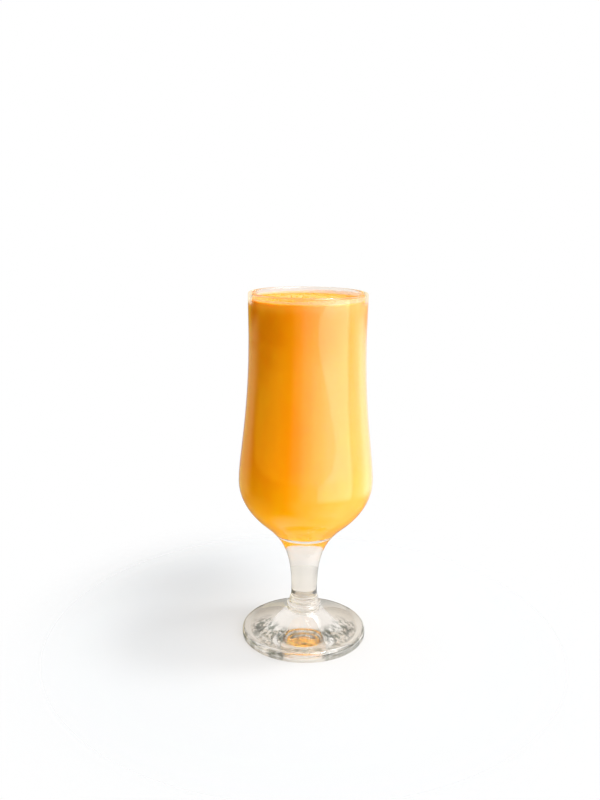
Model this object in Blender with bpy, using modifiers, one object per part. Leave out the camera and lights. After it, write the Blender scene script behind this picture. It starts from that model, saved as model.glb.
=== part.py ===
"""Mango lassi in a footed tulip glass.

The glass is one turned solid: a rounded lip, a tall bowl with a slight waist and a low belly, a
short drawn stem, a collar ring and a round foot with a hollow underside. The drink is a second
turned solid that fills the bowl almost to the lip.

Sizes are in metres, +Z is up, and the origin is the middle of the surface the foot stands on.
Every profile is a list of (radius, height) points.
"""

import math

import bpy
from mathutils import Vector
from mathutils.geometry import interpolate_bezier

# Round steps of a turned solid, divisible by four so that it reaches its full size along X and Y
TURN_STEPS = 48

# Points of a turned solid that lie closer than this become one
MERGE_DISTANCE = 0.00005

# Bowl, outside
GLASS_HEIGHT = 0.200
RIM_RADIUS = 0.03245
WAIST_RADIUS = 0.0321
WAIST_HEIGHT = 0.1745
BELLY_RADIUS = 0.03775
BELLY_HEIGHT = 0.0945
SHOULDER_RADIUS = 0.0240
SHOULDER_HEIGHT = 0.0694
SHOULDER_LEAN = math.radians(50)

# How far the bowl's curve keeps its direction on each side of a station
WAIST_REACH_UP = 0.008
WAIST_REACH_DOWN = 0.042
BELLY_REACH_UP = 0.014
BELLY_REACH_DOWN = 0.010
SHOULDER_REACH_UP = 0.010
SHOULDER_REACH_DOWN = 0.018

# Bowl, inside, with the wall's thickness at each station
RIM_WALL = 0.0022
WAIST_WALL = 0.0024
BELLY_WALL = 0.0027
CUP_BOTTOM_HEIGHT = 0.0632
CUP_BOTTOM_REACH = 0.0165
CUP_BELLY_REACH_DOWN = 0.017

# Stem and collar ring
STEM_RADIUS = 0.0074
STEM_FOOT_HEIGHT = 0.0265
STEM_REACH_UP = 0.021
NECK_RADIUS = 0.0086
COLLAR_TOP_HEIGHT = 0.0201
COLLAR_RADIUS = 0.0100
COLLAR_FOOT_HEIGHT = 0.0175
COLLAR_INSET = 0.0012
COLLAR_SWEEP = 75.0

# Foot
FOOT_RADIUS = 0.03574
FOOT_EDGE_HEIGHT = 0.0058
FOOT_TOP_ROUND = 0.0026
FOOT_LOW_ROUND = 0.0013
BELL_TOP_RADIUS = 0.0093
BELL_REACH_OUT = 0.0015
BELL_REACH_DOWN = 0.0040
PLATE_REACH_IN = 0.0140
PLATE_REACH_UP = 0.0060
RECESS_RADIUS = 0.0300
RECESS_HEIGHT = 0.0010
RECESS_REACH_IN = 0.0110
RECESS_REACH_UP = 0.0006
RECESS_FLAT_RADIUS = 0.0090

# Drink
DRINK_HEIGHT = 0.1957
DRINK_EDGE_HEIGHT = 0.1966
DRINK_FLAT_RADIUS = 0.0274
DRINK_CLEARANCE = 0.0003

# Looks
GLASS_COLOUR = (0.96, 0.97, 0.95, 1.0)
GLASS_ROUGHNESS = 0.02
GLASS_IOR = 1.5
DRINK_COLOUR = (0.93, 0.46, 0.07, 1.0)
DRINK_ROUGHNESS = 0.35
DRINK_IOR = 1.35


def curve(start, start_handle, end_handle, end, steps):
    """Points of one Bezier arc, without its first point."""
    knots = [Vector(point) for point in (start, start_handle, end_handle, end)]
    return [tuple(point) for point in interpolate_bezier(*knots, steps + 1)][1:]


def arc(centre, radii, start, end, steps):
    """Points of an elliptical arc between two angles in degrees, counted from +radius upwards."""
    points = []
    for step in range(steps + 1):
        angle = math.radians(start + (end - start) * step / steps)
        points.append((centre[0] + radii[0] * math.cos(angle), centre[1] + radii[1] * math.sin(angle)))
    return points


def cup_wall():
    """The inner wall, from the middle of the cup's bottom up to the edge of the drink."""
    bottom = (0.0, CUP_BOTTOM_HEIGHT)
    belly = (BELLY_RADIUS - BELLY_WALL, BELLY_HEIGHT)
    waist = (WAIST_RADIUS - WAIST_WALL, WAIST_HEIGHT)
    rim_radius = RIM_RADIUS - RIM_WALL
    edge = (rim_radius, DRINK_EDGE_HEIGHT)
    points = [bottom]
    points += curve(bottom, (CUP_BOTTOM_REACH, CUP_BOTTOM_HEIGHT),
                    (belly[0], BELLY_HEIGHT - CUP_BELLY_REACH_DOWN), belly, steps=9)
    points += curve(belly, (belly[0], BELLY_HEIGHT + BELLY_REACH_UP),
                    (waist[0], WAIST_HEIGHT - WAIST_REACH_DOWN), waist, steps=7)
    points += curve(waist, (waist[0], WAIST_HEIGHT + WAIST_REACH_UP),
                    (rim_radius, DRINK_EDGE_HEIGHT - WAIST_REACH_UP), edge, steps=3)
    return points


def lip():
    """The rounded lip, from the inner wall over to the outer one."""
    round_radius = RIM_WALL / 2
    centre = (RIM_RADIUS - round_radius, GLASS_HEIGHT - round_radius)
    return arc(centre, (round_radius, round_radius), 180, 0, steps=6)


def bowl_outside():
    """The outer wall, from below the lip down to the stem's thinnest place."""
    lip_edge = (RIM_RADIUS, GLASS_HEIGHT - RIM_WALL / 2)
    waist = (WAIST_RADIUS, WAIST_HEIGHT)
    belly = (BELLY_RADIUS, BELLY_HEIGHT)
    shoulder = (SHOULDER_RADIUS, SHOULDER_HEIGHT)
    lean = (math.sin(SHOULDER_LEAN), math.cos(SHOULDER_LEAN))
    above_shoulder = (SHOULDER_RADIUS + lean[0] * SHOULDER_REACH_UP,
                      SHOULDER_HEIGHT + lean[1] * SHOULDER_REACH_UP)
    below_shoulder = (SHOULDER_RADIUS - lean[0] * SHOULDER_REACH_DOWN,
                      SHOULDER_HEIGHT - lean[1] * SHOULDER_REACH_DOWN)
    stem = (STEM_RADIUS, STEM_FOOT_HEIGHT)
    points = curve(lip_edge, (RIM_RADIUS, lip_edge[1] - WAIST_REACH_UP),
                   (WAIST_RADIUS, WAIST_HEIGHT + WAIST_REACH_UP), waist, steps=3)
    points += curve(waist, (WAIST_RADIUS, WAIST_HEIGHT - WAIST_REACH_DOWN),
                    (BELLY_RADIUS, BELLY_HEIGHT + BELLY_REACH_UP), belly, steps=9)
    points += curve(belly, (BELLY_RADIUS, BELLY_HEIGHT - BELLY_REACH_DOWN),
                    above_shoulder, shoulder, steps=7)
    points += curve(shoulder, below_shoulder,
                    (STEM_RADIUS, STEM_FOOT_HEIGHT + STEM_REACH_UP), stem, steps=11)
    return points


def collar():
    """The neck's flare, and the ring below it."""
    neck = (NECK_RADIUS, COLLAR_TOP_HEIGHT)
    halfway = (STEM_FOOT_HEIGHT + COLLAR_TOP_HEIGHT) / 2
    points = curve((STEM_RADIUS, STEM_FOOT_HEIGHT), (STEM_RADIUS, halfway),
                   (NECK_RADIUS, halfway), neck, steps=4)
    ring_centre = (COLLAR_RADIUS - COLLAR_INSET, (COLLAR_TOP_HEIGHT + COLLAR_FOOT_HEIGHT) / 2)
    ring_radii = (COLLAR_INSET, (COLLAR_TOP_HEIGHT - COLLAR_FOOT_HEIGHT) / 2)
    points += arc(ring_centre, ring_radii, COLLAR_SWEEP, -COLLAR_SWEEP, steps=6)
    return points


def foot():
    """The bell-shaped plate under the collar, its rounded edge and the hollow underside."""
    bell_top = (BELL_TOP_RADIUS, COLLAR_FOOT_HEIGHT)
    plate_edge = (FOOT_RADIUS - FOOT_TOP_ROUND, FOOT_EDGE_HEIGHT)
    recess_edge = (RECESS_RADIUS, 0.0)
    points = [bell_top]
    points += curve(bell_top, (BELL_TOP_RADIUS + BELL_REACH_OUT, COLLAR_FOOT_HEIGHT - BELL_REACH_DOWN),
                    (plate_edge[0] - PLATE_REACH_IN, FOOT_EDGE_HEIGHT + PLATE_REACH_UP),
                    plate_edge, steps=9)
    points += arc((plate_edge[0], FOOT_EDGE_HEIGHT - FOOT_TOP_ROUND),
                  (FOOT_TOP_ROUND, FOOT_TOP_ROUND), 90, 0, steps=5)[1:]
    points += arc((FOOT_RADIUS - FOOT_LOW_ROUND, FOOT_LOW_ROUND),
                  (FOOT_LOW_ROUND, FOOT_LOW_ROUND), 0, -90, steps=3)
    points.append(recess_edge)
    points += curve(recess_edge, (RECESS_RADIUS - RECESS_REACH_IN, RECESS_REACH_UP),
                    (RECESS_FLAT_RADIUS, RECESS_HEIGHT), (0.0, RECESS_HEIGHT), steps=6)
    return points


def inset(points, distance):
    """The same line moved inwards, square to itself; its first point stays on the axis."""
    moved = []
    for index, point in enumerate(points):
        before = points[max(index - 1, 0)]
        after = points[min(index + 1, len(points) - 1)]
        along = Vector(after) - Vector(before)
        along.normalize()
        moved.append((max(point[0] - along.y * distance, 0.0), point[1] + along.x * distance))
    moved[0] = (0.0, points[0][1] + distance)
    return moved


def drink_surface(edge):
    """The top of the drink, from its middle out to where it climbs the wall."""
    middle = (0.0, DRINK_HEIGHT)
    flat_edge = (DRINK_FLAT_RADIUS, DRINK_HEIGHT)
    climb = (edge[0] - DRINK_FLAT_RADIUS) / 2
    points = [middle, flat_edge]
    points += curve(flat_edge, (DRINK_FLAT_RADIUS + climb, DRINK_HEIGHT),
                    (edge[0], (edge[1] + DRINK_HEIGHT) / 2), edge, steps=4)
    return points


def material(name, colour, roughness, ior, transmission):
    """A Principled material with the part's colour."""
    made = bpy.data.materials.new(name)
    made.use_nodes = True
    made.diffuse_color = colour
    shader = made.node_tree.nodes["Principled BSDF"]
    shader.inputs["Base Color"].default_value = colour
    shader.inputs["Roughness"].default_value = roughness
    shader.inputs["Metallic"].default_value = 0.0
    shader.inputs["Transmission Weight"].default_value = transmission
    shader.inputs["IOR"].default_value = ior
    return made


def turned(name, profile, finish, collection):
    """A solid of revolution about Z, from a profile that starts and ends on the axis."""
    mesh = bpy.data.meshes.new(name)
    vertices = [(radius, 0.0, height) for radius, height in profile]
    edges = [(index, index + 1) for index in range(len(vertices) - 1)]
    mesh.from_pydata(vertices, edges, [])
    mesh.materials.append(finish)
    piece = bpy.data.objects.new(name, mesh)
    collection.objects.link(piece)
    screw = piece.modifiers.new("turn", 'SCREW')
    screw.axis = 'Z'
    screw.angle = 2 * math.pi
    screw.steps = TURN_STEPS
    screw.render_steps = TURN_STEPS
    screw.use_merge_vertices = True
    screw.merge_threshold = MERGE_DISTANCE
    screw.use_smooth_shade = True
    return piece


def make_glass(collection):
    """The glass, whose profile runs up the cup, over the lip and down the outside to the underside."""
    profile = cup_wall() + lip() + bowl_outside() + collar() + foot()
    finish = material("clear_glass", GLASS_COLOUR, GLASS_ROUGHNESS, GLASS_IOR, transmission=1.0)
    return turned("glass", profile, finish, collection)


def make_lassi(collection):
    """The drink, whose profile runs out over its surface and down the wall to the cup's bottom."""
    wall = inset(cup_wall(), DRINK_CLEARANCE)
    surface = drink_surface(wall[-1])
    profile = surface[:-1] + wall[::-1]
    finish = material("mango_lassi", DRINK_COLOUR, DRINK_ROUGHNESS, DRINK_IOR, transmission=0.0)
    return turned("lassi", profile, finish, collection)


def main():
    for old in list(bpy.data.objects):
        bpy.data.objects.remove(old, do_unlink=True)
    collection = bpy.data.collections.new("mango_lassi_in_tulip_glass")
    bpy.context.scene.collection.children.link(collection)
    make_glass(collection)
    make_lassi(collection)


main()
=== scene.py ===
"""Mango lassi in a footed tulip glass, finished for its picture.

Run as a script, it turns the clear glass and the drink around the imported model, adds the froth and
the film that clings to the wall, and sets up a pale studio with the camera.

Sizes are in metres, +Z is up, and the foot stands on the plane z = 0.
"""

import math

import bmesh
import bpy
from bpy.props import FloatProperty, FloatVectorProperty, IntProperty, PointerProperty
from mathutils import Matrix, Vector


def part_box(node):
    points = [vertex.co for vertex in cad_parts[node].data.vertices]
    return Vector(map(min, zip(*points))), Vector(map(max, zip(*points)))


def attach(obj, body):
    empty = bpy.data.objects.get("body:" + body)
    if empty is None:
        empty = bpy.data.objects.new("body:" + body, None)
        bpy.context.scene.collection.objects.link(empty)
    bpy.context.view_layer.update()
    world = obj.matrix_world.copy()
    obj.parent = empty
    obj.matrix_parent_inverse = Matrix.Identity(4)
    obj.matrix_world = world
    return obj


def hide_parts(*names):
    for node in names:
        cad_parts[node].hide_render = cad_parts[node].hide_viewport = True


bl_info = {
    "name": "Mango Lassi Glass",
    "version": (1, 0, 0),
    "blender": (4, 5, 0),
    "location": "View3D > Sidebar > Lassi",
    "description": "Builds a tulip glass of mango lassi with its froth, and a studio around it",
    "category": "Object",
}

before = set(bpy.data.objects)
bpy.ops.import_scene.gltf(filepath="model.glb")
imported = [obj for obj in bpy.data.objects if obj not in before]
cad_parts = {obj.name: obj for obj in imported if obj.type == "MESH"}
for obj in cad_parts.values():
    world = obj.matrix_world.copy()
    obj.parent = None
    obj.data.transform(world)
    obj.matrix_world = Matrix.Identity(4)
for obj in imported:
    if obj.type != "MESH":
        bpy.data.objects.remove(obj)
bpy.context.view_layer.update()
GLASS_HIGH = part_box("glass")[1]
LASSI_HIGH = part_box("lassi")[1]

MM = 0.001
ROUND = 0.5523
CARRIER_RADIUS = 0.1
WELD_DISTANCE = 0.01 * MM

# How far the bowl's curve keeps its direction on each side of a station
WAIST_UP = 8 * MM
WAIST_DOWN = 42 * MM
BELLY_UP = 14 * MM
BELLY_DOWN = 10 * MM
CUP_BELLY_DOWN = 17 * MM
CUP_BOTTOM_OUT = 16.5 * MM
SHOULDER_UP = 10 * MM
SHOULDER_DOWN = 18 * MM
STEM_UP = 21 * MM

# Rounds of the collar and the foot, and how far the bell and the hollow keep their direction
COLLAR_INSET = 0.9 * MM
BELL_INSET = 0.7 * MM
BELL_DOWN = 4.0 * MM
BELL_OUT = 1.5 * MM
PLATE_IN = 14.0 * MM
PLATE_UP = 6.0 * MM
FOOT_TOP_ROUND = 2.6 * MM
FOOT_LOW_ROUND = 1.3 * MM
HOLLOW_IN = 11.0 * MM
HOLLOW_UP = 0.6 * MM
HOLLOW_FLAT = 9 * MM

# The drink's edge, which climbs the wall, and the gap between the wall and the froth
MENISCUS_IN = 0.2 * MM
MENISCUS_DOWN = 0.35 * MM
FROTH_GAP = 0.2 * MM

# Relief of the surface, the froth and the film: shares of a radius, cuts through noise and what they give
SWELL_REACH = (0.75, 1.0)
SWELLS_PER_METRE = 110.0
FROTH_AT_WALL = (0.80, 0.99)
RAFTS_PER_METRE = 150.0
RAFT_CUT = (0.45, 0.62)
RAFT_CROWD = (0.12, 0.8)
MOST_BUBBLES = 2.0e6
FEW_LARGE = 3.5
SMALLEST_SHARE = 0.22
FILM_SIDES = (-0.8, 0.9)
FILM_WAVES = 2.2
FILM_CUT = (0.3, 0.7)
FILM_HEIGHTS = (0.7, 1.15)
FILM_COVER = (0.56, 0.27)
FILM_PATCHES = (0.6, 1.1)

# Soft borders on the glass, as where the change starts and where it is done: radii for the bell, the
# rim and the side of the foot, depth for the front, widths for the middle and the side reflections, and
# heights for the stem and the lip. Then the cuts through noise, how dark or clear a patch gets, and how far
# edge on a surface is seen. The foot's dark streaks, side reflections and darker middle are painted
# dark reflections of the room, and the dark edges of the stem and the foot are painted shade
FOOT_TOP = 12.0 * MM
BELL_BORDER = (17.0 * MM, 21.5 * MM)
RIM_BORDER = (31.0 * MM, 28.5 * MM)
SIDE_BORDER = (34.2 * MM, 35.2 * MM)
FRONT_BORDER = (3.0 * MM, -7.0 * MM)
MIDDLE_BORDER = (14.0 * MM, 9.0 * MM)
SIDE_REFLECTION_BORDER = (8.0 * MM, 13.0 * MM)
STEM_BORDER = (58.0 * MM, 48.0 * MM)
LIP_BORDER = (193.0 * MM, 197.0 * MM)
LIP_INSIDE_GAIN = 8.0 * MM
STREAK_STRETCH = 30.0
JAGGED_BORDER = (0.44, 0.55)
SIDE_REFLECTION_CUT = (0.44, 0.54)
MIDDLE_DUSK = 0.52
MIDDLE_CLEAR = 0.4
SIDE_REFLECTION_DUSK = 0.85
GRAZING = (0.72, 0.97)
LIP_EDGE_ON = (0.45, 0.80)
SOFT_LIGHT_TINT = (0.93, 0.92, 0.90, 1.0)

# Where the drink's finish changes: heights from its surface, heights above the table, and places from
# left to right, each with the shares it gives. The places from left to right carry painted light: the
# bottom yellower on the shaded left than on the lit right, and the lit right half yellower
TOP_BORDER = (-1.4 * MM, 0.2 * MM)
EDGE_BORDER = (-5.5 * MM, 0.0)
LOW_BORDER = (110.0 * MM, 80.0 * MM)
LOW_SHARE = 0.85
LEFT_TO_RIGHT = (-20.0 * MM, 20.0 * MM)
LEFT_PAINTED_LIGHT_SHARES = (1.1, 0.6)
RIGHT_PAINTED_LIGHT_BORDER = (-24.0 * MM, 0.0)
RIGHT_PAINTED_LIGHT_SHARE = 0.21
SWIRL_CUT = (0.35, 0.7)
SWIRL_SHARE = 0.25
TOP_SLOPE = (0.4, 0.8)
PORES_PER_METRE = 1900.0
PORE_DEPTH = 0.12 * MM
GLOW_SHARES = (0.35, 1.0)
TOP_COAT = 0.55
WALL_GLOSS = (0.50, 0.60)

# Light round the glass, by degrees from the camera towards the right, as strength and colour: what the
# glass mirrors above the sill of the window, under the sill and from the table, and what shines on the
# drink
WHITE = (1.0, 1.0, 1.0)
WARM = (1.0, 0.85, 0.35)
AMBER = (1.0, 0.75, 0.10)
GOLD = (1.0, 0.95, 0.04)
OVER_SILL = (
    (-180, 0.5, WHITE),
    (-162, 0.5, WARM),
    (-150, 0.8, AMBER),
    (-123, 0.1, AMBER),
    (-95, 1.3, GOLD),
    (-55, 1.4, GOLD),
    (-32, 0.4, GOLD),
    (-17, 0.5, WHITE),
    (0, 1.5, WHITE),
    (20, 2.6, WHITE),
    (42, 4.0, WHITE),
    (50, 4.1, WHITE),
    (81, 3.7, WHITE),
    (88, 3.0, WHITE),
    (104, 2.7, WHITE),
    (123, 1.8, WHITE),
    (150, 0.7, WHITE),
    (180, 0.5, WHITE),
)
UNDER_SILL = (
    (-180, 0.4, WHITE),
    (-162, 0.5, WHITE),
    (-148, 1.0, WARM),
    (-123, 1.1, WARM),
    (-100, 0.2, GOLD),
    (-60, 0.0, GOLD),
    (-32, 0.0, WHITE),
    (-17, 0.3, WHITE),
    (0, 1.3, WHITE),
    (20, 1.9, WHITE),
    (45, 3.0, WHITE),
    (76, 3.5, WHITE),
    (93, 2.5, WHITE),
    (123, 2.9, WHITE),
    (150, 1.5, WHITE),
    (180, 0.4, WHITE),
)
TABLE = (
    (-180, 0.2, WHITE),
    (-150, 0.2, WHITE),
    (-110, 0.3, WARM),
    (-40, 0.0, WHITE),
    (0, 0.9, WHITE),
    (20, 1.5, WHITE),
    (45, 2.1, WHITE),
    (76, 2.3, WHITE),
    (93, 1.8, WHITE),
    (123, 1.0, WHITE),
    (150, 0.4, WHITE),
    (180, 0.2, WHITE),
)
WALLS = (
    (-180, 0.6, WHITE),
    (-90, 1.0, WHITE),
    (-45, 0.2, WHITE),
    (10, 0.2, WHITE),
    (28, 4.6, WHITE),
    (42, 8.0, WHITE),
    (64, 7.1, WHITE),
    (82, 2.8, WHITE),
    (105, 0.7, WHITE),
    (180, 0.6, WHITE),
)

# Borders in the room, by the height of a direction from -1 straight down to 1 straight up
SILL = (-0.166, -0.138)
STEEP = (-0.80, -0.96)
ON_TABLE = (-0.30, -0.50)
WALL_RISE = (0.14, 0.5)
WALL_GAIN = 1.7
CEILING = (0.60, 0.95)

# From beside the glass, at 0, towards straight behind it, at 1
BACKDROP = (0.0, 0.45)

# The window's bright pane, between two heights of the same kind, with its edges in degrees; and the
# lamp's halo in degrees
PANE_HEIGHT = (-0.165, -0.085)
PANE_EDGE = (20, 54)
PANE_NEAR = (-0.7, 1.3)
PANE_FAR = (86, 82)
HALO = (27, 12)

# Shares of the floor's radius between which it fades
FLOOR_FADE = (0.40, 0.88)


# Settings that a user would change

def length(name, description, default, low=0.0, high=1.0):
    """A size in metres, to a tenth of a millimetre or finer."""
    return FloatProperty(name=name, description=description, default=default, min=low, max=high,
                         subtype='DISTANCE', unit='LENGTH', precision=5)


def colour(name, description, default):
    """A colour, kept with an alpha of one."""
    return FloatVectorProperty(name=name, description=description, default=(*default, 1.0), size=4,
                               subtype='COLOR', min=0.0, max=1.0)


def strength(name, description, default):
    """A strength of light."""
    return FloatProperty(name=name, description=description, default=default, min=0.0)


def angle(name, description, degrees):
    """An angle, shown in degrees."""
    return FloatProperty(name=name, description=description, default=math.radians(degrees), subtype='ANGLE')


class GlassSettings(bpy.types.PropertyGroup):
    """Sizes of the turned glass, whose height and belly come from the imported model."""

    height: length("Height", "Lip above the table", GLASS_HIGH.z)
    rim_radius: length("Rim Radius", "Outside of the lip", 0.03245)
    waist_radius: length("Waist Radius", "Outside where the bowl is slimmest", 0.0321)
    waist_height: length("Waist Height", "Where the bowl is slimmest", 0.1745)
    belly_radius: length("Belly Radius", "Outside where the bowl is widest", GLASS_HIGH.x)
    belly_height: length("Belly Height", "Where the bowl is widest", 0.0945)
    shoulder_radius: length("Shoulder Radius", "Outside under the belly", 0.0240)
    shoulder_height: length("Shoulder Height", "Station under the belly", 0.0694)
    shoulder_lean: angle("Shoulder Lean", "Angle from upright under the belly", 50)
    rim_wall: length("Rim Wall", "Thickness at the lip", 0.0022)
    waist_wall: length("Waist Wall", "Thickness at the waist", 0.0024)
    belly_wall: length("Belly Wall", "Thickness at the belly", 0.0027)
    cup_bottom: length("Cup Bottom", "Inside bottom above the table", 0.0632)
    stem_radius: length("Stem Radius", "The stem where it is thinnest", 0.0074)
    stem_foot: length("Stem Foot", "Height where the stem is thinnest", 0.0265)
    neck_radius: length("Neck Radius", "The flare above the collar", 0.0086)
    collar_radius: length("Collar Radius", "Outside of the collar ring", 0.0100)
    collar_top: length("Collar Top", "Top of the collar ring", 0.0201)
    collar_foot: length("Collar Foot", "Underside of the collar ring", 0.0175)
    foot_radius: length("Foot Radius", "Outside of the foot", 0.03574)
    foot_edge: length("Foot Edge", "Thickness of the foot at its edge", 0.0058)
    recess_radius: length("Recess Radius", "Hollow under the foot", 0.0300)
    recess_height: length("Recess Height", "Depth of the hollow under the foot", 0.0010)
    round_steps: IntProperty(name="Round Steps", description="Sides round the axis", default=192, min=24)


class DrinkSettings(bpy.types.PropertyGroup):
    """Sizes of the drink and of what lies on it."""

    level: length("Level", "Surface of the drink in the middle", 0.1957)
    edge_level: length("Edge Level", "Where the drink meets the wall", LASSI_HIGH.z)
    flat_radius: length("Flat Radius", "Where the surface starts to climb the wall", 0.0268)
    reach: length("Reach", "How far the drink reaches into the wall", 0.0001)
    swell: length("Swell", "Height of the soft swells on the surface", 0.0004)
    bubble_size: length("Bubble Size", "Radius of the largest froth bubble", 0.00062)
    bubble_spacing: length("Bubble Spacing", "Least distance between froth bubbles", 0.00085)
    film_height: length("Film Height", "How high the film clings above the edge", 0.0022)
    film_low: FloatProperty(name="Film Low Side", description="The film's height on its low side, as a share",
                            default=0.45, min=0.05, max=1.0)
    film_foot: length("Film Foot", "How far the film starts below the edge of the drink", 0.0004)
    film_thickness: length("Film Thickness", "Thickness of the film on the wall", 0.00008)
    seed: IntProperty(name="Seed", description="Start of the random draws", default=7)


class FinishSettings(bpy.types.PropertyGroup):
    """Colours of the glass, the drink and the froth, with painted dark reflections and shade on the glass and
    painted light on the drink.
    """

    glass_tint: colour("Glass Tint", "Colour that one surface of the glass gives", (0.935, 0.885, 0.82))
    # Painted dark reflections of the room, laid on the foot as streaks
    painted_streak_reflection: colour("Painted Streak Reflection", "The darker streaks in the foot", (0.11, 0.12, 0.09))
    # Painted shade along the edges of the stem and the foot
    painted_edge_shade: colour("Painted Edge Shade", "The stem and the foot at their edges", (0.30, 0.32, 0.26))
    lip_edge: colour("Lip Edge", "The lip where it is seen edge on", (1.0, 0.93, 0.80))
    drink: colour("Drink", "Ripe mango and yoghurt", (0.97, 0.272, 0.0015))
    # Yellower drink, laid towards the bottom, in the swirls, and as painted light over the lit right half and
    # low on the shaded left
    drink_yellow_and_painted_light: colour("Yellow Drink and Painted Light", "The yellower bottom", (0.97, 0.42, 0.003))
    drink_edge: colour("Drink Edge", "The wall just under the surface", (0.97, 0.37, 0.02))
    froth: colour("Froth", "Fine froth on the surface", (0.97, 0.27, 0.05))
    film: colour("Film", "Thin film of drink on the wall", (1.0, 0.76, 0.40))


class StudioSettings(bpy.types.PropertyGroup):
    """The light around the glass, and the camera."""

    room_light: strength("Room Light", "Strength of the pale room", 1.0)
    ceiling_light: strength("Ceiling Light", "Light from above", 0.7)
    far_table: strength("Far Table", "Soft light from the table beyond the floor", 0.35)
    table_light: strength("Table Light", "What the underside of the bowl mirrors", 1.1)
    pale_back: strength("Pale Back", "Light seen through the glass behind it", 0.97)
    dark_side: strength("Dark Side", "Light seen through the glass beside it", 0.12)
    floor: colour("Floor", "Pale floor", (0.514, 0.527, 0.536))
    floor_through: colour("Floor Through Glass", "Pale floor seen through the glass", (0.485, 0.489, 0.482))
    floor_glow: strength("Floor Glow", "Soft light that the floor adds from below", 1.1)
    floor_radius: length("Floor Radius", "How far the floor reaches", 0.22, high=10.0)
    key_power: strength("Key Power", "Power of the lamp on the right", 4.0)
    key_size: length("Key Size", "Across the lamp on the right", 0.2, high=5.0)
    key_distance: length("Key Distance", "From the foot to the lamp", 1.2, high=10.0)
    key_height: angle("Key Height", "Angle of the lamp above the table", 72)
    key_turn: angle("Key Turn", "Angle from the camera towards the right", 99)
    key_halo: strength("Key Halo", "Soft brightness that gloss shows round the lamp", 7.0)
    pane_light: strength("Pane Light", "Extra light in the brighter pane of the window", 1.5)
    camera_distance: length("Camera Distance", "From the glass's axis", 0.4566, high=10.0)
    camera_height: length("Camera Height", "Above the table", 0.2456, high=10.0)
    camera_pitch: angle("Camera Pitch", "How far it looks down", 12.98)
    camera_pan: angle("Camera Pan", "How far it looks left of the axis", 0.467)
    camera_roll: angle("Camera Roll", "How far it leans left", 0.7)
    lens: FloatProperty(name="Lens", description="Focal length on a 36 mm tall picture", default=38.13,
                        subtype='DISTANCE_CAMERA')


# Outlines, as Bezier legs in (radius, height)

def straight(start, end):
    """A leg without a bend."""
    start, end = Vector(start), Vector(end)
    return (start.lerp(end, 1 / 3), start.lerp(end, 2 / 3), end)


def corner(start, tip, end):
    """A quarter-round leg that turns inside the corner at tip."""
    start, tip, end = Vector(start), Vector(tip), Vector(end)
    return (start.lerp(tip, ROUND), end.lerp(tip, ROUND), end)


def bend(out_handle, in_handle, end):
    """A free leg with its two handles."""
    return (Vector(out_handle), Vector(in_handle), Vector(end))


def backwards(start, legs):
    """The same outline, run from its end to its start."""
    knots = [Vector(start)] + [leg[2] for leg in legs]
    turned = [(leg[1], leg[0], knot) for leg, knot in zip(reversed(legs), reversed(knots[:-1]))]
    return knots[-1], turned


def outline_object(name, start, legs, fineness):
    """A Bezier curve object in the XZ plane that runs along the legs."""
    data = bpy.data.curves.new(name, 'CURVE')
    data.dimensions = '3D'
    data.resolution_u = fineness
    spline = data.splines.new('BEZIER')
    spline.bezier_points.add(len(legs))
    knots = [Vector(start)] + [leg[2] for leg in legs]
    before = [Vector(start)] + [leg[1] for leg in legs]
    after = [leg[0] for leg in legs] + [legs[-1][2]]
    for point, knot, left, right in zip(spline.bezier_points, knots, before, after):
        point.handle_left_type = 'FREE'
        point.handle_right_type = 'FREE'
        point.co = (knot.x, 0.0, knot.y)
        point.handle_left = (left.x, 0.0, left.y)
        point.handle_right = (right.x, 0.0, right.y)
    return linked(name, data)


def linked(name, data):
    """A new object in the scene, which holds the data."""
    made = bpy.data.objects.new(name, data)
    bpy.context.scene.collection.objects.link(made)
    return made


def cup_legs(glass, wall_shift, edge_height):
    """The inner wall from the cup's bottom up to edge_height, moved outwards by wall_shift."""
    belly = glass.belly_radius - glass.belly_wall + wall_shift
    waist = glass.waist_radius - glass.waist_wall + wall_shift
    rim = glass.rim_radius - glass.rim_wall + wall_shift
    bottom = glass.cup_bottom - wall_shift
    start = (0.0, bottom)
    legs = [
        bend((CUP_BOTTOM_OUT, bottom), (belly, glass.belly_height - CUP_BELLY_DOWN),
             (belly, glass.belly_height)),
        bend((belly, glass.belly_height + BELLY_UP), (waist, glass.waist_height - WAIST_DOWN),
             (waist, glass.waist_height)),
        bend((waist, glass.waist_height + WAIST_UP), (rim, edge_height - WAIST_UP), (rim, edge_height)),
    ]
    return start, legs


def bowl_legs(glass):
    """The outer wall from under the lip down to the stem."""
    lean = Vector((math.sin(glass.shoulder_lean), math.cos(glass.shoulder_lean)))
    shoulder = Vector((glass.shoulder_radius, glass.shoulder_height))
    lip_edge = glass.height - glass.rim_wall / 2
    return [
        bend((glass.rim_radius, lip_edge - WAIST_UP), (glass.waist_radius, glass.waist_height + WAIST_UP),
             (glass.waist_radius, glass.waist_height)),
        bend((glass.waist_radius, glass.waist_height - WAIST_DOWN),
             (glass.belly_radius, glass.belly_height + BELLY_UP), (glass.belly_radius, glass.belly_height)),
        bend((glass.belly_radius, glass.belly_height - BELLY_DOWN), shoulder + lean * SHOULDER_UP, shoulder),
        bend(shoulder - lean * SHOULDER_DOWN, (glass.stem_radius, glass.stem_foot + STEM_UP),
             (glass.stem_radius, glass.stem_foot)),
    ]


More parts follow.
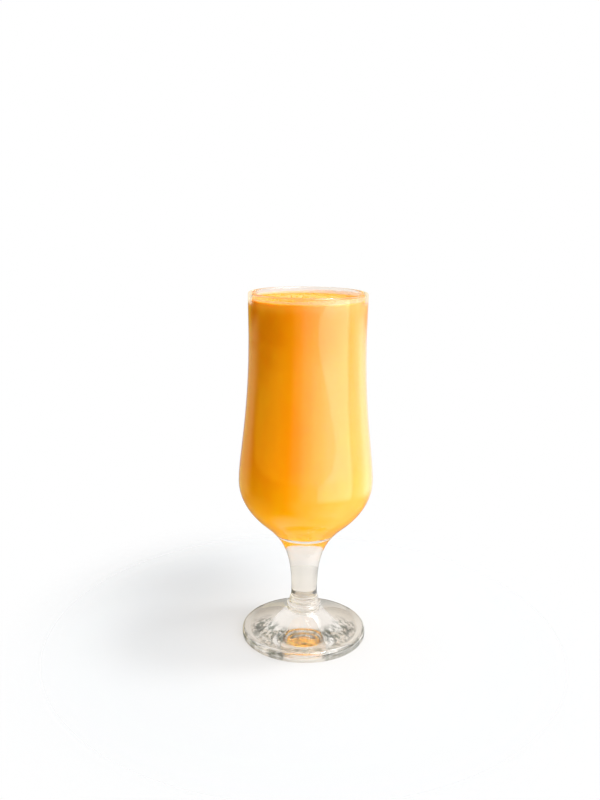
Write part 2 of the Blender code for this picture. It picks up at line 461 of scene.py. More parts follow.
def foot_legs(glass):
    """From the stem over the collar ring, the bell and the plate to the middle of the underside."""
    halfway = (glass.stem_foot + glass.collar_top) / 2
    ring_in = glass.collar_radius - COLLAR_INSET
    ring_middle = (glass.collar_top + glass.collar_foot) / 2
    neck = (glass.neck_radius, glass.collar_top)
    bell_top = (glass.collar_radius - BELL_INSET, glass.collar_foot)
    plate_edge = (glass.foot_radius - FOOT_TOP_ROUND, glass.foot_edge)
    side_top = (glass.foot_radius, glass.foot_edge - FOOT_TOP_ROUND)
    side_foot = (glass.foot_radius, FOOT_LOW_ROUND)
    ring_edge = (glass.foot_radius - FOOT_LOW_ROUND, 0.0)
    hollow_edge = (glass.recess_radius, 0.0)
    return [
        bend((glass.stem_radius, halfway), (glass.neck_radius, halfway), neck),
        straight(neck, (ring_in, glass.collar_top)),
        corner((ring_in, glass.collar_top), (glass.collar_radius, glass.collar_top),
               (glass.collar_radius, ring_middle)),
        corner((glass.collar_radius, ring_middle), (glass.collar_radius, glass.collar_foot), bell_top),
        bend((bell_top[0] + BELL_OUT, bell_top[1] - BELL_DOWN),
             (plate_edge[0] - PLATE_IN, plate_edge[1] + PLATE_UP), plate_edge),
        corner(plate_edge, (glass.foot_radius, glass.foot_edge), side_top),
        straight(side_top, side_foot),
        corner(side_foot, (glass.foot_radius, 0.0), ring_edge),
        straight(ring_edge, hollow_edge),
        bend((glass.recess_radius - HOLLOW_IN, HOLLOW_UP), (HOLLOW_FLAT, glass.recess_height),
             (0.0, glass.recess_height)),
    ]


# Nodes, whose inputs each take another node's socket or a plain value

def node(tree, kind, given=None, **settings):
    """A node with its settings and inputs."""
    made = tree.nodes.new(kind)
    for key, value in settings.items():
        setattr(made, key, value)
    for key, value in (given or {}).items():
        if isinstance(value, bpy.types.NodeSocket):
            tree.links.new(value, made.inputs[key])
        else:
            made.inputs[key].default_value = value
    return made


def first_out(tree, kind, given=None, **settings):
    """The first output of a new node."""
    return node(tree, kind, given, **settings).outputs[0]


def worked_out(tree, operation, *parts, clamp=False):
    """The result of a sum, a product or another operation on numbers."""
    return first_out(tree, 'ShaderNodeMath', dict(enumerate(parts)), operation=operation, use_clamp=clamp)


def times(tree, *parts):
    """The product of two or more numbers."""
    product = parts[0]
    for part in parts[1:]:
        product = worked_out(tree, 'MULTIPLY', product, part)
    return product


def ranged(tree, value, low, high, start=0.0, end=1.0, shape='LINEAR'):
    """Goes from start to end while the value goes from low to high."""
    return first_out(tree, 'ShaderNodeMapRange',
                     {"Value": value, "From Min": low, "From Max": high, "To Min": start, "To Max": end},
                     interpolation_type=shape)


def eased(tree, value, low, high, start=0.0, end=1.0):
    """The same with a soft start and end."""
    return ranged(tree, value, low, high, start, end, shape='SMOOTHSTEP')


def noise(tree, place, scale, detail, roughness=0.5, distortion=0.0):
    """Cloudy noise at a place."""
    return first_out(tree, 'ShaderNodeTexNoise', {"Vector": place, "Scale": scale, "Detail": detail,
                                                  "Roughness": roughness, "Distortion": distortion})


def split(tree, vector):
    """The X, Y and Z of a vector."""
    return node(tree, 'ShaderNodeSeparateXYZ', {"Vector": vector}).outputs


def round_axis(tree, place):
    """How far a place is from the glass's axis, and the level direction towards it."""
    flat = first_out(tree, 'ShaderNodeVectorMath', {0: place, 1: (1.0, 1.0, 0.0)}, operation='MULTIPLY')
    reach = node(tree, 'ShaderNodeVectorMath', {0: flat}, operation='LENGTH').outputs["Value"]
    around = first_out(tree, 'ShaderNodeVectorMath', {0: flat}, operation='NORMALIZE')
    return reach, around


def object_place(tree):
    """A place in the object's own coordinates."""
    return node(tree, 'ShaderNodeTexCoord').outputs["Object"]


def tinted(tree, share, first, second):
    """Two colours mixed by a share."""
    return node(tree, 'ShaderNodeMix', {0: share, 6: first, 7: second}, data_type='RGBA').outputs[2]


def layered(tree, share, first, second):
    """Two surfaces mixed by a share."""
    return first_out(tree, 'ShaderNodeMixShader', {0: share, 1: first, 2: second})


def facing(tree):
    """Zero where a surface faces the eye, one where it is seen edge on."""
    return node(tree, 'ShaderNodeLayerWeight', {"Blend": 0.5}).outputs["Facing"]


# Geometry Nodes

def tree_with(name, **inputs):
    """A Geometry Nodes tree with geometry, the named inputs and a material, and the sockets they give."""
    tree = bpy.data.node_groups.new(name, 'GeometryNodeTree')
    tree.interface.new_socket("Geometry", in_out='INPUT', socket_type='NodeSocketGeometry')
    for label, kind in inputs.items():
        tree.interface.new_socket(label.replace("_", " "), in_out='INPUT', socket_type='NodeSocket' + kind)
    tree.interface.new_socket("Material", in_out='INPUT', socket_type='NodeSocketMaterial')
    tree.interface.new_socket("Geometry", in_out='OUTPUT', socket_type='NodeSocketGeometry')
    return tree, node(tree, 'NodeGroupInput').outputs


def finish_tree(tree, source, material):
    """Ends the tree in Realize Instances and Set Material."""
    real = first_out(tree, 'GeometryNodeRealizeInstances', {"Geometry": source})
    dressed = first_out(tree, 'GeometryNodeSetMaterial', {"Geometry": real, "Material": material})
    node(tree, 'NodeGroupOutput', {0: dressed})
    return tree


def turning_tree():
    """Turns an outline in the XZ plane about Z: a big circle carries it round, and the poles are closed."""
    tree, given = tree_with("turned_about_z", Round_Steps='Int', Carrier_Radius='Float',
                            Weld_Distance='Float')
    offset = first_out(tree, 'ShaderNodeCombineXYZ', {"X": times(tree, given["Carrier Radius"], -1.0)})
    laid = first_out(tree, 'GeometryNodeTransform', {"Geometry": given["Geometry"], "Translation": offset,
                                                     "Rotation": (math.radians(90), 0.0, 0.0)})
    circle = first_out(tree, 'GeometryNodeCurvePrimitiveCircle',
                       {"Resolution": given["Round Steps"], "Radius": given["Carrier Radius"]})
    upright = first_out(tree, 'GeometryNodeSetCurveNormal', {"Curve": circle}, mode='Z_UP')
    swept = first_out(tree, 'GeometryNodeCurveToMesh', {"Curve": upright, "Profile Curve": laid})
    welded = first_out(tree, 'GeometryNodeMergeByDistance',
                       {"Geometry": swept, "Distance": given["Weld Distance"]})
    smooth = first_out(tree, 'GeometryNodeSetShadeSmooth', {"Geometry": welded})
    return finish_tree(tree, smooth, given["Material"])


def swell_tree():
    """Raises and lowers the drink's surface in soft swells that die out towards the wall."""
    tree, given = tree_with("swells", Level='Float', Flat_Radius='Float', Swell='Float', Seed='Float')
    place = first_out(tree, 'GeometryNodeInputPosition')
    reach, _ = round_axis(tree, place)
    share = worked_out(tree, 'DIVIDE', reach, given["Flat Radius"])
    still = eased(tree, share, *SWELL_REACH, 1.0, 0.0)
    waves = first_out(tree, 'ShaderNodeTexNoise', {"Vector": place, "W": given["Seed"], "Detail": 2.0,
                                                   "Scale": SWELLS_PER_METRE}, noise_dimensions='4D')
    around_zero = worked_out(tree, 'ADD', waves, -0.5)
    rise = first_out(tree, 'ShaderNodeCombineXYZ', {"Z": times(tree, around_zero, given["Swell"], still)})
    just_under = worked_out(tree, 'ADD', given["Level"], -MM)
    on_top = first_out(tree, 'FunctionNodeCompare', {0: split(tree, place)["Z"], 1: just_under},
                       operation='GREATER_THAN')
    swollen = first_out(tree, 'GeometryNodeSetPosition',
                        {"Geometry": given["Geometry"], "Selection": on_top, "Offset": rise})
    return finish_tree(tree, swollen, given["Material"])


def film_tree():
    """Gives the film on the wall a wavering upper edge, which reaches higher on the right."""
    tree, given = tree_with("film_edge", Edge_Level='Float', Low_Side='Float', Wall_Radius='Float')
    place = first_out(tree, 'GeometryNodeInputPosition')
    parts = split(tree, place)
    _, around = round_axis(tree, place)
    rightwards = worked_out(tree, 'DIVIDE', parts["X"], given["Wall Radius"])
    side = eased(tree, rightwards, *FILM_SIDES, given["Low Side"], 1.0)
    waves = noise(tree, around, FILM_WAVES, detail=3.0, roughness=0.55)
    uneven = ranged(tree, waves, *FILM_CUT, *FILM_HEIGHTS)
    loss = worked_out(tree, 'ADD', times(tree, side, uneven), -1.0)
    above = worked_out(tree, 'SUBTRACT', parts["Z"], given["Edge Level"])
    clipped = worked_out(tree, 'MAXIMUM', above, 0.0)
    down = first_out(tree, 'ShaderNodeCombineXYZ', {"Z": times(tree, clipped, loss)})
    moved = first_out(tree, 'GeometryNodeSetPosition', {"Geometry": given["Geometry"], "Offset": down})
    return finish_tree(tree, moved, given["Material"])


def froth_tree():
    """Scatters bubbles over the faces it is given, closer together by the wall and in rafts."""
    tree, given = tree_with("froth_bubbles", Spacing='Float', Largest='Float', Wall_Radius='Float',
                            Seed='Int')
    place = first_out(tree, 'GeometryNodeInputPosition')
    reach, _ = round_axis(tree, place)
    near_wall = eased(tree, worked_out(tree, 'DIVIDE', reach, given["Wall Radius"]), *FROTH_AT_WALL)
    rafts = noise(tree, place, RAFTS_PER_METRE, detail=2.0, roughness=0.6)
    raft = eased(tree, rafts, *RAFT_CUT, *RAFT_CROWD)
    points = first_out(tree, 'GeometryNodeDistributePointsOnFaces',
                       {"Mesh": given["Geometry"], "Distance Min": given["Spacing"],
                        "Density Factor": worked_out(tree, 'MAXIMUM', near_wall, raft),
                        "Seed": given["Seed"], "Density Max": MOST_BUBBLES}, distribute_method='POISSON')
    draw = node(tree, 'FunctionNodeRandomValue', {"Seed": given["Seed"], 2: 0.0, 3: 1.0}, data_type='FLOAT')
    few_large = worked_out(tree, 'POWER', draw.outputs[1], FEW_LARGE)
    size = times(tree, ranged(tree, few_large, 0.0, 1.0, SMALLEST_SHARE, 1.0), given["Largest"])
    bubble = first_out(tree, 'GeometryNodeMeshUVSphere', {"Radius": 1.0, "Segments": 8, "Rings": 5})
    set_on = first_out(tree, 'GeometryNodeInstanceOnPoints',
                       {"Points": points, "Instance": bubble, "Scale": size})
    smooth = first_out(tree, 'GeometryNodeSetShadeSmooth', {"Geometry": set_on})
    return finish_tree(tree, smooth, given["Material"])


def set_input(modifier, label, value):
    """Sets a modifier's input by its socket's identifier."""
    for item in modifier.node_group.interface.items_tree:
        if item.item_type == 'SOCKET' and item.in_out == 'INPUT' and item.name == label:
            modifier[item.identifier] = value
            return
    raise KeyError(label)


def plain_mesh(source, name, steps):
    """Runs the trees on source, keeps the result as a plain mesh object and removes the source."""
    for tree, values in steps:
        modifier = source.modifiers.new(tree.name, 'NODES')
        modifier.node_group = tree
        for label, value in values.items():
            set_input(modifier, label, value)
    bpy.context.view_layer.update()
    depsgraph = bpy.context.evaluated_depsgraph_get()
    mesh = bpy.data.meshes.new_from_object(source.evaluated_get(depsgraph), depsgraph=depsgraph)
    source.modifiers.clear()
    data = source.data
    bpy.data.objects.remove(source)
    kept_in = bpy.data.curves if isinstance(data, bpy.types.Curve) else bpy.data.meshes
    kept_in.remove(data)
    mesh.name = name
    return linked(name, mesh)


def turning(glass, finish):
    """The step that turns an outline about Z."""
    return turning_tree(), {"Round Steps": glass.round_steps, "Carrier Radius": CARRIER_RADIUS,
                            "Weld Distance": WELD_DISTANCE, "Material": finish}


def keep_faces(mesh, wanted):
    """Deletes every face whose centre and normal aren't wanted."""
    work = bmesh.new()
    work.from_mesh(mesh)
    spare = [face for face in work.faces if not wanted(face.calc_center_median(), face.normal)]
    bmesh.ops.delete(work, geom=spare, context='FACES')
    work.to_mesh(mesh)
    work.free()


# Materials

def new_material(name):
    """A material with an empty node tree."""
    made = bpy.data.materials.new(name)
    made.use_nodes = True
    made.node_tree.nodes.clear()
    return made, made.node_tree


def painted_foot_reflections(tree, parts, reach, around):
    """The foot's painted dark reflections, as jagged streaks, a darker middle and reflections on its side,
    and the clearer patch in the middle of its front half.
    """
    lengthways = first_out(tree, 'ShaderNodeCombineXYZ', {"Z": times(tree, reach, STREAK_STRETCH)})
    polar = first_out(tree, 'ShaderNodeVectorMath', {0: around, 1: lengthways}, operation='ADD')
    streak_pattern = noise(tree, polar, 11.0, detail=4.0, roughness=0.65, distortion=0.3)
    jagged = eased(tree, streak_pattern, *JAGGED_BORDER)
    aside = worked_out(tree, 'ABSOLUTE', parts["X"])
    middle = eased(tree, aside, *MIDDLE_BORDER, end=MIDDLE_DUSK)
    on_foot = worked_out(tree, 'LESS_THAN', parts["Z"], FOOT_TOP)
    out_of_bell = eased(tree, reach, *BELL_BORDER)
    in_rim = eased(tree, reach, *RIM_BORDER)
    in_front = eased(tree, parts["Y"], *FRONT_BORDER)
    band = times(tree, out_of_bell, in_rim, in_front, on_foot)
    plate = times(tree, band, worked_out(tree, 'MAXIMUM', jagged, middle))
    outer = eased(tree, aside, *SIDE_REFLECTION_BORDER, end=SIDE_REFLECTION_DUSK)
    side_reflection = eased(tree, noise(tree, around, 3.2, detail=4.0, roughness=0.7), *SIDE_REFLECTION_CUT, end=outer)
    painted_side_reflection = times(tree, side_reflection, eased(tree, reach, *SIDE_BORDER), on_foot)
    patch = times(tree, band, times(tree, middle, MIDDLE_CLEAR))
    return worked_out(tree, 'MAXIMUM', plate, painted_side_reflection), patch


def glass_material(finish):
    """Clear glass with a faint draw, painted dark reflections in the foot and painted shade on the edges of
    the stem and the foot; lamps and soft light pass it on their way to the drink.
    """
    made, tree = new_material("drawn_glass")
    place = object_place(tree)
    parts = split(tree, place)
    reach, around = round_axis(tree, place)
    streaks, patch = painted_foot_reflections(tree, parts, reach, around)
    # Painted dark reflections of the room in the foot, as streaks and side reflections
    shade = tinted(tree, streaks, finish.glass_tint, finish.painted_streak_reflection)
    slant = facing(tree)
    # Painted shade along the edges of the stem and the foot where they are seen edge on
    edges = times(tree, eased(tree, slant, *GRAZING), eased(tree, parts["Z"], *STEM_BORDER))
    edged = tinted(tree, edges, shade, finish.painted_edge_shade)
    waves = noise(tree, place, 55.0, detail=1.0, roughness=0.4)
    draw = first_out(tree, 'ShaderNodeBump', {"Height": waves, "Strength": 0.05, "Distance": 0.002})
    solid = first_out(tree, 'ShaderNodeBsdfPrincipled',
                      {"Normal": draw, "Base Color": edged, "Roughness": 0.0, "IOR": 1.5,
                       "Transmission Weight": 1.0})
    inside = node(tree, 'ShaderNodeNewGeometry').outputs["Backfacing"]
    height = worked_out(tree, 'MULTIPLY_ADD', inside, LIP_INSIDE_GAIN, parts["Z"])
    lip_fade = times(tree, eased(tree, height, *LIP_BORDER), eased(tree, slant, *LIP_EDGE_ON))
    faded = first_out(tree, 'ShaderNodeBsdfTransparent', {"Color": finish.lip_edge})
    clear = layered(tree, worked_out(tree, 'MAXIMUM', lip_fade, patch), solid, faded)
    passing = first_out(tree, 'ShaderNodeBsdfTransparent', {"Color": SOFT_LIGHT_TINT})
    path = node(tree, 'ShaderNodeLightPath').outputs
    soft = worked_out(tree, 'MAXIMUM', path["Is Shadow Ray"], path["Is Diffuse Ray"])
    node(tree, 'ShaderNodeOutputMaterial', {"Surface": layered(tree, soft, clear, passing)})
    return made


def drink_colour(tree, finish, place, parts, near_edge):
    """Yellower low down and where it swirls, with painted light that makes the bottom yellower on the shaded
    left and the lit right half yellower; paler under the edge, with froth on top.
    """
    tall = first_out(tree, 'ShaderNodeMapping', {"Vector": place, "Scale": (1.0, 1.0, 0.28)})
    swirls = noise(tree, tall, 90.0, detail=4.0, roughness=0.6, distortion=0.4)
    swirl = times(tree, ranged(tree, swirls, *SWIRL_CUT), SWIRL_SHARE)
    depth = ranged(tree, parts["Z"], *LOW_BORDER, end=LOW_SHARE)
    # Painted light: the bottom is yellower on the shaded left than on the lit right
    painted_light_left = ranged(tree, parts["X"], *LEFT_TO_RIGHT, *LEFT_PAINTED_LIGHT_SHARES)
    # Painted light: yellower over the lit right half
    painted_light_right = eased(tree, parts["X"], *RIGHT_PAINTED_LIGHT_BORDER, end=RIGHT_PAINTED_LIGHT_SHARE)
    swirl_and_painted_light = worked_out(tree, 'ADD', swirl, painted_light_right)
    yellow = worked_out(tree, 'ADD', times(tree, depth, painted_light_left), swirl_and_painted_light, clamp=True)
    wall = tinted(tree, yellow, finish.drink, finish.drink_yellow_and_painted_light)
    paled = tinted(tree, near_edge, wall, finish.drink_edge)
    lie = split(tree, node(tree, 'ShaderNodeNewGeometry').outputs["Normal"])
    return tinted(tree, eased(tree, lie["Z"], *TOP_SLOPE), paled, finish.froth)


def lassi_material(finish, level):
    """Thick mango yoghurt drink: faint swirls on the wall, and a paler wet surface with fine froth."""
    made, tree = new_material("thick_lassi")
    place = object_place(tree)
    parts = split(tree, place)
    on_top = eased(tree, parts["Z"], *(level + height for height in TOP_BORDER))
    near_edge = eased(tree, parts["Z"], *(level + height for height in EDGE_BORDER))
    pores = first_out(tree, 'ShaderNodeTexVoronoi', {"Vector": place, "Scale": PORES_PER_METRE})
    pore_bump = first_out(tree, 'ShaderNodeBump',
                          {"Height": pores, "Strength": on_top, "Distance": PORE_DEPTH}, invert=True)
    body = first_out(tree, 'ShaderNodeBsdfPrincipled',
                     {"Base Color": drink_colour(tree, finish, place, parts, near_edge),
                      "Coat Weight": times(tree, on_top, TOP_COAT), "Normal": pore_bump,
                      "Subsurface Weight": ranged(tree, near_edge, 0.0, 1.0, *GLOW_SHARES),
                      "IOR": 1.35, "Roughness": 0.6, "Specular IOR Level": 0.0, "Coat Roughness": 0.22,
                      "Coat IOR": 1.34, "Subsurface Radius": (1.0, 0.45, 0.12), "Subsurface Scale": 0.004})
    on_wall = worked_out(tree, 'SUBTRACT', 1.0, on_top)
    mirror = times(tree, eased(tree, facing(tree), *WALL_GLOSS), on_wall)
    silver = first_out(tree, 'ShaderNodeBsdfGlossy', {"Color": (*WHITE, 1.0), "Roughness": 0.05})
    node(tree, 'ShaderNodeOutputMaterial', {"Surface": layered(tree, mirror, body, silver)})
    return made


def film_material(finish, drink):
    """A thin film of the drink that lets some light through, and thins out upwards in patches."""
    made, tree = new_material("wall_film")
    place = object_place(tree)
    film_top = drink.edge_level + drink.film_height
    height = ranged(tree, split(tree, place)["Z"], drink.edge_level, film_top, *FILM_COVER)
    patches = noise(tree, place, 420.0, detail=3.0, roughness=0.6)
    patchy = ranged(tree, patches, *FILM_CUT, *FILM_PATCHES)
    cover = worked_out(tree, 'MULTIPLY', height, patchy, clamp=True)
    body = first_out(tree, 'ShaderNodeBsdfPrincipled',
                     {"Base Color": finish.film, "Roughness": 0.4, "Specular IOR Level": 0.2})
    glow = first_out(tree, 'ShaderNodeBsdfTranslucent', {"Color": finish.film})
    thin = layered(tree, cover, first_out(tree, 'ShaderNodeBsdfTransparent'), layered(tree, 0.5, body, glow))
    node(tree, 'ShaderNodeOutputMaterial', {"Surface": thin})
    return made


def froth_material(finish):
    """Small wet bubbles of the same drink."""
    made, tree = new_material("wet_froth")
    mottle = noise(tree, object_place(tree), 900.0, detail=1.0)
    body = first_out(tree, 'ShaderNodeBsdfPrincipled',
                     {"Base Color": tinted(tree, mottle, finish.froth, finish.drink_yellow_and_painted_light),
                      "Roughness": 0.12, "IOR": 1.34, "Subsurface Weight": 0.4,
                      "Subsurface Radius": (1.0, 0.5, 0.15), "Subsurface Scale": 0.001})
    node(tree, 'ShaderNodeOutputMaterial', {"Surface": body})
    return made


def floor_material(studio):
    """Plain pale floor, which lights the drink a little from below and fades out towards its edge."""
    made, tree = new_material("pale_floor")
    path = node(tree, 'ShaderNodeLightPath').outputs
    tone = tinted(tree, path["Is Transmission Ray"], studio.floor, studio.floor_through)
    matt = first_out(tree, 'ShaderNodeBsdfDiffuse', {"Color": tone})
    direct = worked_out(tree, 'MAXIMUM', path["Is Camera Ray"], path["Is Glossy Ray"])
    indirect = worked_out(tree, 'SUBTRACT', 1.0, direct)
    lit = first_out(tree, 'ShaderNodeEmission', {"Strength": times(tree, indirect, studio.floor_glow)})
    both = first_out(tree, 'ShaderNodeAddShader', {0: matt, 1: lit})
    reach, _ = round_axis(tree, object_place(tree))
    outer = eased(tree, reach, *(studio.floor_radius * share for share in FLOOR_FADE))
    fading = times(tree, outer, path["Is Camera Ray"])
    shown = layered(tree, fading, both, first_out(tree, 'ShaderNodeBsdfTransparent'))
    node(tree, 'ShaderNodeOutputMaterial', {"Surface": shown})
    return made


# Operators

class LASSI_OT_glass(bpy.types.Operator):
    """Turn the clear tulip glass."""

    bl_idname = "lassi.glass"
    bl_label = "Tulip Glass"

    def execute(self, context):
        glass = context.scene.lassi_glass
        drink = context.scene.lassi_drink
        half = glass.rim_wall / 2
        start, legs = cup_legs(glass, 0.0, drink.edge_level)
        inner = glass.rim_radius - glass.rim_wall
        lip_edge = glass.height - half
        legs.append(straight((inner, drink.edge_level), (inner, lip_edge)))
        legs.append(corner((inner, lip_edge), (inner, glass.height), (inner + half, glass.height)))
        legs.append(corner((inner + half, glass.height), (glass.rim_radius, glass.height),
                           (glass.rim_radius, lip_edge)))
        legs += bowl_legs(glass) + foot_legs(glass)
        outline = outline_object("glass_outline", start, legs, fineness=10)
        finish = glass_material(context.scene.lassi_finish)
        piece = plain_mesh(outline, "tulip_glass", [turning(glass, finish)])
        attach(piece, "root")
        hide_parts("glass")
        return {'FINISHED'}


class LASSI_OT_drink(bpy.types.Operator):
    """Pour the drink, which wets the wall all round."""

    bl_idname = "lassi.drink"
    bl_label = "Mango Lassi"

    def execute(self, context):
        glass = context.scene.lassi_glass
        drink = context.scene.lassi_drink
        start, wall = cup_legs(glass, drink.reach, drink.edge_level)
        edge = wall[-1][2]
        flat_edge = (drink.flat_radius, drink.level)
        halfway = ((edge.x + drink.flat_radius) / 2, drink.level)
        wall.append(bend((edge.x - MENISCUS_IN, edge.y - MENISCUS_DOWN), halfway, flat_edge))
        wall.append(straight(flat_edge, (0.0, drink.level)))
        top_middle, downwards = backwards(start, wall)
        outline = outline_object("drink_outline", top_middle, downwards, fineness=24)
        finish = lassi_material(context.scene.lassi_finish, drink.level)
        piece = plain_mesh(outline, "lassi_body", [
            turning(glass, finish),
            (swell_tree(), {"Level": drink.level, "Flat Radius": drink.flat_radius, "Swell": drink.swell,
                            "Seed": float(drink.seed), "Material": finish})])
        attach(piece, "root")
        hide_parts("lassi")
        return {'FINISHED'}


class LASSI_OT_froth(bpy.types.Operator):
    """Scatter froth bubbles over the drink."""

    bl_idname = "lassi.froth"
    bl_label = "Froth"

    def execute(self, context):
        drink = context.scene.lassi_drink
        glass = context.scene.lassi_glass
        body = bpy.data.objects.get("lassi_body")
        if body is None:
            raise RuntimeError("the froth lies on the drink, which isn't there yet")
        wall = glass.rim_radius - glass.rim_wall
        field = linked("froth_field", body.data.copy())
        keep_faces(field.data, lambda centre, normal: normal.z > 0.5 and centre.z > drink.level - MM
                   and math.hypot(centre.x, centre.y) < wall - FROTH_GAP)
        finish = froth_material(context.scene.lassi_finish)
        piece = plain_mesh(field, "froth_bubbles", [
            (froth_tree(), {"Spacing": drink.bubble_spacing, "Largest": drink.bubble_size,
                            "Wall Radius": wall, "Seed": drink.seed, "Material": finish})])
        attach(piece, "root")
        return {'FINISHED'}


class LASSI_OT_film(bpy.types.Operator):
    """Lay the thin film of drink that clings to the wall above the level."""

    bl_idname = "lassi.film"
    bl_label = "Film on the Wall"

    def execute(self, context):
        drink = context.scene.lassi_drink
        glass = context.scene.lassi_glass
        wall = glass.rim_radius - glass.rim_wall
        foot = drink.edge_level - drink.film_foot
        head = drink.edge_level + drink.film_height
        inner_foot = (wall - drink.film_thickness, foot)
        inner_head = (wall - drink.film_thickness / 3, head)
        outer_head = (wall + drink.reach / 2, head)
        outer_foot = (wall + drink.reach / 2, foot)
        legs = [straight(inner_foot, inner_head), straight(inner_head, outer_head),
                straight(outer_head, outer_foot), straight(outer_foot, inner_foot)]
        outline = outline_object("film_outline", inner_foot, legs, fineness=6)
        finish = film_material(context.scene.lassi_finish, drink)
        piece = plain_mesh(outline, "wall_film", [
            turning(glass, finish),
            (film_tree(), {"Edge Level": drink.edge_level, "Low Side": drink.film_low, "Wall Radius": wall,
                           "Material": finish})])
        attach(piece, "root")
        return {'FINISHED'}


class LASSI_OT_studio(bpy.types.Operator):
    """Set the pale floor, the soft light and the camera."""

    bl_idname = "lassi.studio"
    bl_label = "Studio"

    def execute(self, context):
        studio = context.scene.lassi_studio
        make_floor(studio)
        make_room(studio)
        make_key(studio)
        make_camera(studio)
        context.scene.view_settings.view_transform = 'Standard'
        context.scene.view_settings.look = 'None'
        context.scene.cycles.max_bounces = 24
        context.scene.cycles.glossy_bounces = 12
        context.scene.cycles.transmission_bounces = 20
        context.scene.cycles.transparent_max_bounces = 24
        return {'FINISHED'}


# The studio

def make_floor(studio):
    """A round pale floor under the foot; the glass mirrors the room instead of it."""
    bpy.ops.mesh.primitive_circle_add(vertices=96, radius=studio.floor_radius, fill_type='NGON')
    floor = bpy.context.object
    floor.name = "pale_floor"
    floor.data.materials.append(floor_material(studio))
    floor.visible_glossy = False


def compass_way(turn, height):
    """The direction at an angle from the camera towards the right, and at an angle above the table."""
    flat = math.cos(height)
    return Vector((math.sin(turn) * flat, -math.cos(turn) * flat, math.sin(height)))


def make_key(studio):
    """A high soft lamp on the right, which lays the shadow to the left of the foot."""
    data = bpy.data.lights.new("key_lamp", 'AREA')
    data.shape = 'DISK'
    data.size = studio.key_size
    data.energy = studio.key_power
    lamp = linked("key_lamp", data)
    way = compass_way(studio.key_turn, studio.key_height)
    lamp.location = way * studio.key_distance
    lamp.rotation_euler = way.to_track_quat('Z', 'Y').to_euler()


def light_ramp(tree, turn, rows):
    """The light of one table, by compass direction."""
    ramp = node(tree, 'ShaderNodeValToRGB', {"Fac": turn})
    ramp.color_ramp.interpolation = 'EASE'
    brightest = max(power for _, power, _ in rows)
    stops = ramp.color_ramp.elements
    stops.remove(stops[1])
    for degrees, _, _ in rows[1:]:
        stops.new((degrees + 180) / 360)
    for stop, (_, power, tone) in zip(stops, rows):
        stop.color = [power / brightest * part for part in tone] + [1.0]
    return scaled(tree, ramp.outputs[0], brightest)


def scaled(tree, light, factor):
    """A light times a number."""
    return first_out(tree, 'ShaderNodeVectorMath', {0: light, "Scale": factor}, operation='SCALE')


def blended(tree, share, first, second):
    """Two lights mixed by a share; each is a socket or a plain strength."""
    lights = [light if isinstance(light, bpy.types.NodeSocket) else (light,) * 3 for light in (first, second)]
    return node(tree, 'ShaderNodeMix', {0: share, 4: lights[0], 5: lights[1]}, data_type='VECTOR').outputs[1]


def with_white(tree, light, extra):
    """A light with some white light added."""
    white = first_out(tree, 'ShaderNodeCombineXYZ', {part: extra for part in "XYZ"})
    return first_out(tree, 'ShaderNodeVectorMath', {0: light, 1: white}, operation='ADD')


def window_pane(tree, height, compass, power):
    """The brighter pane on the right, which is wider low down."""
    edge = ranged(tree, height, *PANE_HEIGHT, *map(math.radians, PANE_EDGE))
    past = worked_out(tree, 'SUBTRACT', compass, edge)
    near_side = eased(tree, past, *map(math.radians, PANE_NEAR))
    far_side = eased(tree, compass, *map(math.radians, PANE_FAR), end=power)
    return times(tree, near_side, far_side)


def mirrored_light(tree, studio, height, compass, turn):
    """What gloss shows below the horizon: the window, its sill and the table."""
    over_sill = eased(tree, height, *SILL)
    outside = blended(tree, over_sill, light_ramp(tree, turn, UNDER_SILL), light_ramp(tree, turn, OVER_SILL))
    lighter = with_white(tree, outside, window_pane(tree, height, compass, studio.pane_light))
    nearby = blended(tree, eased(tree, height, *ON_TABLE), lighter, light_ramp(tree, turn, TABLE))
    return blended(tree, eased(tree, height, *STEEP), nearby, studio.table_light)


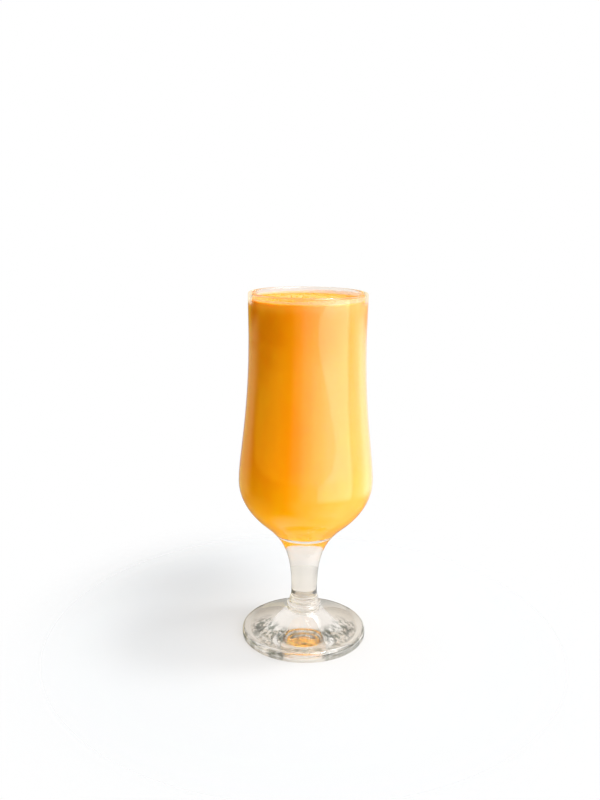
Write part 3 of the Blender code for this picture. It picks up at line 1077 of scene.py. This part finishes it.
def make_room(studio):
    """The light all round the glass, by compass direction; the picture itself is seen against white."""
    world = bpy.data.worlds.new("pale_room")
    bpy.context.scene.world = world
    world.use_nodes = True
    tree = world.node_tree
    tree.nodes.clear()
    place = node(tree, 'ShaderNodeTexCoord').outputs["Generated"]
    way = split(tree, place)
    height = way["Z"]
    compass = worked_out(tree, 'ARCTAN2', way["X"], times(tree, way["Y"], -1.0))
    turn = ranged(tree, compass, -math.pi, math.pi)
    high = eased(tree, height, *CEILING)
    over_table = worked_out(tree, 'GREATER_THAN', height, 0.0)

    rise = ranged(tree, height, *WALL_RISE, end=WALL_GAIN)
    walls = scaled(tree, light_ramp(tree, turn, WALLS), rise)
    upper = blended(tree, high, walls, studio.ceiling_light)
    soft = blended(tree, over_table, studio.far_table, upper)

    key_way = compass_way(studio.key_turn, studio.key_height)
    towards_lamp = node(tree, 'ShaderNodeVectorMath', {0: place, 1: key_way}, operation='DOT_PRODUCT')
    halo = eased(tree, towards_lamp.outputs["Value"],
                 *(math.cos(math.radians(degrees)) for degrees in HALO), end=studio.key_halo)
    mirrored = mirrored_light(tree, studio, height, compass, turn)
    gloss = blended(tree, over_table, mirrored, with_white(tree, upper, halo))

    _, around = round_axis(tree, place)
    behind = eased(tree, split(tree, around)["Y"], *BACKDROP)
    backdrop = blended(tree, behind, studio.dark_side, studio.pale_back)
    clear = blended(tree, high, backdrop, studio.ceiling_light)

    path = node(tree, 'ShaderNodeLightPath').outputs
    refracted = times(tree, path["Is Glossy Ray"], path["Is Transmission Ray"])
    bounced = blended(tree, path["Is Glossy Ray"], soft, gloss)
    passed = scaled(tree, blended(tree, refracted, bounced, clear), studio.room_light)
    seen = blended(tree, path["Is Camera Ray"], passed, 1.0)
    room = first_out(tree, 'ShaderNodeBackground', {"Color": seen, "Strength": 1.0})
    node(tree, 'ShaderNodeOutputWorld', {"Surface": room})


def make_camera(studio):
    """The camera, in front of the glass and a little above its lip."""
    data = bpy.data.cameras.new("camera")
    data.lens = studio.lens
    data.sensor_width = 36.0
    data.clip_start = 0.01
    camera = linked("camera", data)
    turn = (Matrix.Rotation(studio.camera_pan, 3, 'Z')
            @ Matrix.Rotation(math.radians(90) - studio.camera_pitch, 3, 'X')
            @ Matrix.Rotation(studio.camera_roll, 3, 'Z'))
    camera.location = (0.0, -studio.camera_distance, studio.camera_height)
    camera.rotation_euler = turn.to_euler()
    bpy.context.scene.camera = camera


class LASSI_PT_panel(bpy.types.Panel):
    """Lists the pieces and the settings they are made from."""

    bl_idname = "LASSI_PT_panel"
    bl_label = "Mango Lassi"
    bl_space_type = 'VIEW_3D'
    bl_region_type = 'UI'
    bl_category = "Lassi"

    def draw(self, context):
        for operator in PIECES:
            self.layout.operator(operator.bl_idname)
        for label in SETTINGS:
            box = self.layout.box()
            group = getattr(context.scene, label)
            for name in group.bl_rna.properties.keys():
                if name not in ("rna_type", "name"):
                    box.prop(group, name)


SETTINGS = {
    "lassi_glass": GlassSettings,
    "lassi_drink": DrinkSettings,
    "lassi_finish": FinishSettings,
    "lassi_studio": StudioSettings,
}
PIECES = (LASSI_OT_glass, LASSI_OT_drink, LASSI_OT_froth, LASSI_OT_film, LASSI_OT_studio)


def register():
    for group in (*SETTINGS.values(), *PIECES, LASSI_PT_panel):
        bpy.utils.register_class(group)
    for label, group in SETTINGS.items():
        setattr(bpy.types.Scene, label, PointerProperty(type=group))


def unregister():
    for label in SETTINGS:
        delattr(bpy.types.Scene, label)
    for group in reversed((*SETTINGS.values(), *PIECES, LASSI_PT_panel)):
        bpy.utils.unregister_class(group)


def main():
    register()
    bpy.ops.lassi.glass()
    bpy.ops.lassi.drink()
    bpy.ops.lassi.froth()
    bpy.ops.lassi.film()
    bpy.ops.lassi.studio()


if __name__ == "__main__":
    main()
